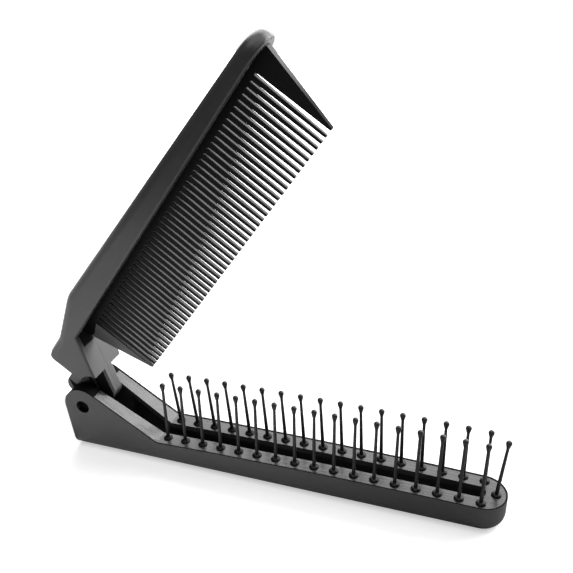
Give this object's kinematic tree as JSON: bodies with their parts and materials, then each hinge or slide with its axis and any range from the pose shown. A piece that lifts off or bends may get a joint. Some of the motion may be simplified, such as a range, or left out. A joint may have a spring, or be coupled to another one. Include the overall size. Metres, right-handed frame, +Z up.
{
  "type": "folding comb and brush",
  "caption": "Folding travel comb hinged to a slotted pin brush: the toothed comb half swings about a cross pin and folds its teeth between the rows of ball-tipped pins.",
  "frame": {"origin": "on the brush's flat underside, straight below the hinge axis", "axes": "+X from the hinge to the brush's tip, Y across the brush along the hinge axis, +Z up towards the pins' tips"},
  "size_m": [0.1162, 0.0138, 0.1096],
  "materials": {
    "shell": "black satin moulded plastic",
    "deck": "black semi-gloss moulded plastic with a fine grain",
    "pins": "black gloss moulded nylon",
    "pivot": "black plain plastic",
    "spine": "black satin moulded plastic",
    "blade": "black semi-gloss moulded plastic"
  },
  "bodies": {
    "brush": {"brush_shell": "shell", "pin_deck": "deck", "pin_near_01": "pins", "pin_far_01": "pins", "pin_near_02": "pins", "pin_far_02": "pins", "pin_near_03": "pins", "pin_far_03": "pins", "pin_near_04": "pins", "pin_far_04": "pins", "pin_near_05": "pins", "pin_far_05": "pins", "pin_near_06": "pins", "pin_far_06": "pins", "pin_near_07": "pins", "pin_far_07": "pins", "pin_near_08": "pins", "pin_far_08": "pins", "pin_near_09": "pins", "pin_far_09": "pins", "pin_near_10": "pins", "pin_far_10": "pins", "pin_near_11": "pins", "pin_far_11": "pins", "pin_near_12": "pins", "pin_far_12": "pins", "pin_near_13": "pins", "pin_far_13": "pins", "pin_near_14": "pins", "pin_far_14": "pins", "pin_near_15": "pins", "pin_far_15": "pins", "pin_near_16": "pins", "pin_far_16": "pins", "pin_near_17": "pins", "pin_far_17": "pins", "pin_end": "pins", "hinge_pin": "pivot"},
    "comb": {"comb_spine": "spine", "comb_blade": "blade"}
  },
  "joints": [
    {"name": "comb_fold", "type": "hinge", "parent": "brush", "child": "comb", "pos_m": [0, 0, 0.0139], "axis": [0, -1, 0], "range_deg": [-53.1, 126.9]}
  ]
}
